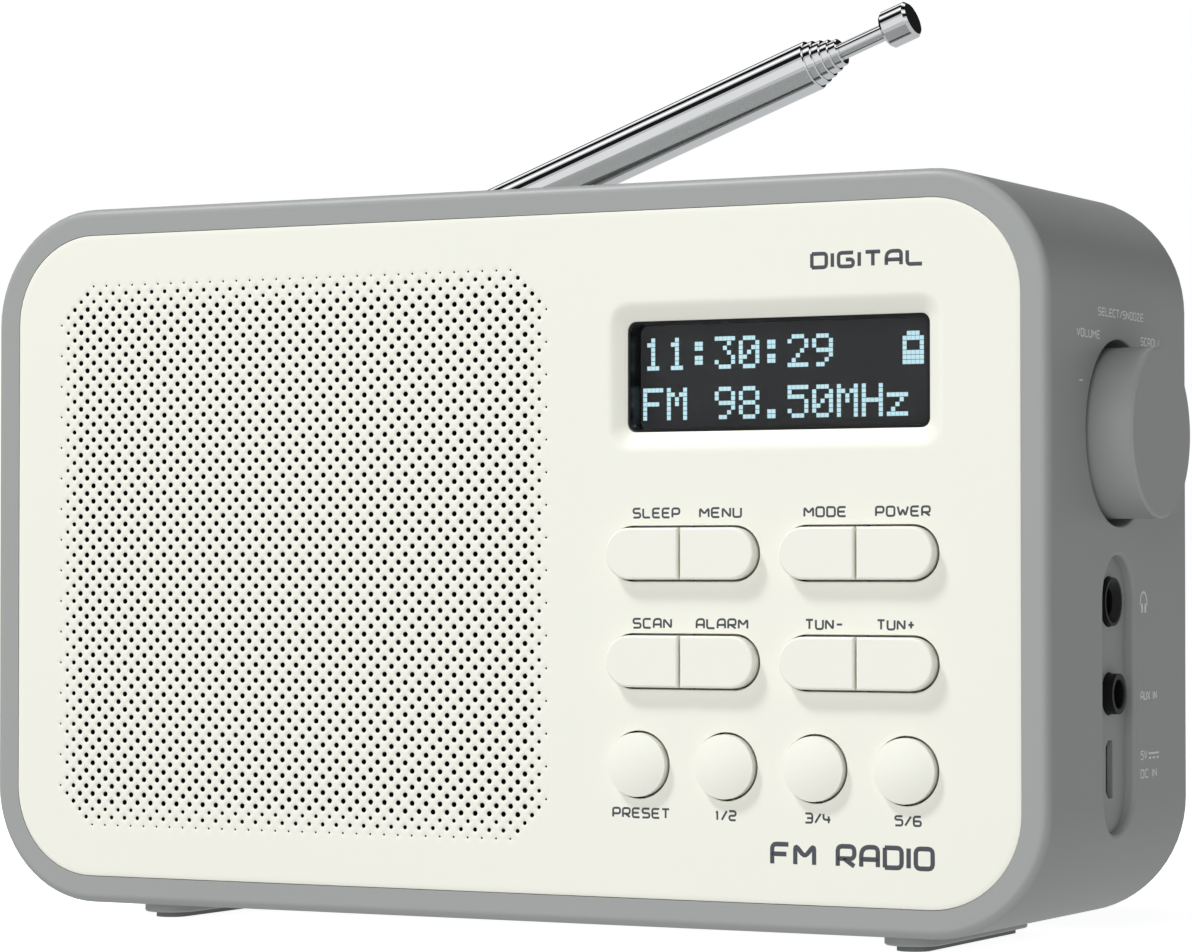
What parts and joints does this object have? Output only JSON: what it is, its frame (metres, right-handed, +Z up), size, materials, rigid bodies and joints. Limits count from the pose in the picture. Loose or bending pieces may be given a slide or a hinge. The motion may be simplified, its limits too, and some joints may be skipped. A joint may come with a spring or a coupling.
{
  "type": "tabletop radio",
  "caption": "Compact tabletop digital radio: rounded case, perforated front panel, display, push buttons, side knob and telescopic antenna.",
  "frame": {"origin": "on the surface it stands on, under the middle of the whole radio with its knob and buttons", "axes": "+X to the right of someone facing the front, +Y to the rear, +Z up"},
  "size_m": [0.1658, 0.053, 0.1282],
  "materials": {
    "case_grey": "fine moulded grain, satin",
    "panel_cream": "smooth moulded, satin",
    "foot_rubber": "matte",
    "clear_window": "clear, polished",
    "black_plastic": "satin",
    "lcd_glass": "polished, lit characters",
    "light_guide": "translucent white",
    "board_green": "solder mask",
    "zinc_steel": "zinc plated",
    "socket_steel": "nickel plated",
    "black_steel": "satin black",
    "ribbon_film": "polyester film",
    "grille_fabric": "woven acoustic cloth",
    "foam_black": "closed cell foam",
    "paper_cone": "pressed paper",
    "magnet_grey": "sintered ferrite",
    "antenna_chrome": "polished",
    "bush_brass": "machined",
    "cell_wrap": "shrink wrapped, plain"
  },
  "bodies": {
    "case": {"case_shell": "case_grey", "rear_cover": "case_grey", "foot_left": "foot_rubber", "foot_right": "foot_rubber", "front_panel": "panel_cream", "display_window": "clear_window", "lcd_frame": "black_plastic", "lcd_module": "lcd_glass", "backlight": "light_guide", "main_board": "board_green", "side_board": "board_green", "tact_switches": "black_plastic", "board_screws": "zinc_steel", "receiver_module": "zinc_steel", "ribbon_cable": "ribbon_film", "grille_cloth": "grille_fabric", "speaker_gasket": "foam_black", "speaker_basket": "black_steel", "speaker_cone": "paper_cone", "speaker_magnet": "magnet_grey", "speaker_screws": "zinc_steel", "headphone_jack": "black_plastic", "aux_jack": "black_plastic", "usb_socket": "socket_steel", "encoder_body": "zinc_steel", "encoder_nut": "zinc_steel", "battery_cells": "cell_wrap", "battery_contacts": "zinc_steel", "rear_screws": "zinc_steel", "antenna_bush": "bush_brass"},
    "push_collar": {"encoder_plunger": "black_plastic"},
    "turning_knob": {"knob": "case_grey", "knob_shaft": "zinc_steel"},
    "battery_lid": {"battery_door": "case_grey"},
    "aerial_fork": {"antenna_swivel": "antenna_chrome", "antenna_hinge_pin": "antenna_chrome", "antenna_nut": "zinc_steel"},
    "aerial_1": {"antenna_tube_1": "antenna_chrome"},
    "aerial_2": {"antenna_tube_2": "antenna_chrome"},
    "aerial_3": {"antenna_tube_3": "antenna_chrome"},
    "aerial_4": {"antenna_tube_4": "antenna_chrome"},
    "aerial_5": {"antenna_tube_5": "antenna_chrome"},
    "aerial_6": {"antenna_rod": "antenna_chrome", "antenna_tip": "antenna_chrome"},
    "sleep_key": {"sleep_button": "panel_cream"},
    "menu_key": {"menu_button": "panel_cream"},
    "mode_key": {"mode_button": "panel_cream"},
    "power_key": {"power_button": "panel_cream"},
    "scan_key": {"scan_button": "panel_cream"},
    "alarm_key": {"alarm_button": "panel_cream"},
    "tune_down_key": {"tune_down_button": "panel_cream"},
    "tune_up_key": {"tune_up_button": "panel_cream"},
    "preset_key": {"preset_button": "panel_cream"},
    "preset_1_2_key": {"preset_1_2_button": "panel_cream"},
    "preset_3_4_key": {"preset_3_4_button": "panel_cream"},
    "preset_5_6_key": {"preset_5_6_button": "panel_cream"}
  },
  "joints": [
    {"name": "sleep_press", "type": "slide", "parent": "case", "child": "sleep_key", "axis": [0, 1, 0], "range_m": [0, 0.0008], "stiffness_N_per_m": 1200},
    {"name": "menu_press", "type": "slide", "parent": "case", "child": "menu_key", "axis": [0, 1, 0], "range_m": [0, 0.0008], "stiffness_N_per_m": 1200},
    {"name": "mode_press", "type": "slide", "parent": "case", "child": "mode_key", "axis": [0, 1, 0], "range_m": [0, 0.0008], "stiffness_N_per_m": 1200},
    {"name": "power_press", "type": "slide", "parent": "case", "child": "power_key", "axis": [0, 1, 0], "range_m": [0, 0.0008], "stiffness_N_per_m": 1200},
    {"name": "scan_press", "type": "slide", "parent": "case", "child": "scan_key", "axis": [0, 1, 0], "range_m": [0, 0.0008], "stiffness_N_per_m": 1200},
    {"name": "alarm_press", "type": "slide", "parent": "case", "child": "alarm_key", "axis": [0, 1, 0], "range_m": [0, 0.0008], "stiffness_N_per_m": 1200},
    {"name": "tune_down_press", "type": "slide", "parent": "case", "child": "tune_down_key", "axis": [0, 1, 0], "range_m": [0, 0.0008], "stiffness_N_per_m": 1200},
    {"name": "tune_up_press", "type": "slide", "parent": "case", "child": "tune_up_key", "axis": [0, 1, 0], "range_m": [0, 0.0008], "stiffness_N_per_m": 1200},
    {"name": "preset_press", "type": "slide", "parent": "case", "child": "preset_key", "axis": [0, 1, 0], "range_m": [0, 0.0008], "stiffness_N_per_m": 1200},
    {"name": "preset_1_2_press", "type": "slide", "parent": "case", "child": "preset_1_2_key", "axis": [0, 1, 0], "range_m": [0, 0.0008], "stiffness_N_per_m": 1200},
    {"name": "preset_3_4_press", "type": "slide", "parent": "case", "child": "preset_3_4_key", "axis": [0, 1, 0], "range_m": [0, 0.0008], "stiffness_N_per_m": 1200},
    {"name": "preset_5_6_press", "type": "slide", "parent": "case", "child": "preset_5_6_key", "axis": [0, 1, 0], "range_m": [0, 0.0008], "stiffness_N_per_m": 1200},
    {"name": "knob_push", "type": "slide", "parent": "case", "child": "push_collar", "axis": [-1, 0, 0], "range_m": [0, 0.0005], "stiffness_N_per_m": 2500},
    {"name": "knob_turn", "type": "hinge", "parent": "push_collar", "child": "turning_knob", "pos_m": [0.0771, 0, 0.06676], "axis": [1, 0, 0], "continuous": true},
    {"name": "battery_door_swing", "type": "hinge", "parent": "case", "child": "battery_lid", "pos_m": [-0.0029, 0.0251, 0.01316], "axis": [-1, 0, 0], "range_deg": [0, 95]},
    {"name": "antenna_swing", "type": "hinge", "parent": "case", "child": "aerial_fork", "pos_m": [-0.0467, 0.0218, 0.09436], "axis": [0, -1, 0], "range_deg": [-20.2, 99.8]},
    {"name": "antenna_tilt", "type": "hinge", "parent": "aerial_fork", "child": "aerial_1", "pos_m": [-0.0467, 0.0218, 0.09436], "axis": [-0.3453, 0, 0.9385], "range_deg": [0, 90]},
    {"name": "antenna_draw_1", "type": "slide", "parent": "aerial_1", "child": "aerial_2", "axis": [0.9385, 0, 0.3453], "range_m": [0, 0.057]},
    {"name": "antenna_draw_2", "type": "slide", "parent": "aerial_2", "child": "aerial_3", "axis": [0.9385, 0, 0.3453], "range_m": [0, 0.057]},
    {"name": "antenna_draw_3", "type": "slide", "parent": "aerial_3", "child": "aerial_4", "axis": [0.9385, 0, 0.3453], "range_m": [0, 0.057]},
    {"name": "antenna_draw_4", "type": "slide", "parent": "aerial_4", "child": "aerial_5", "axis": [0.9385, 0, 0.3453], "range_m": [0, 0.057]},
    {"name": "antenna_draw_5", "type": "slide", "parent": "aerial_5", "child": "aerial_6", "axis": [0.9385, 0, 0.3453], "range_m": [0, 0.057]}
  ]
}
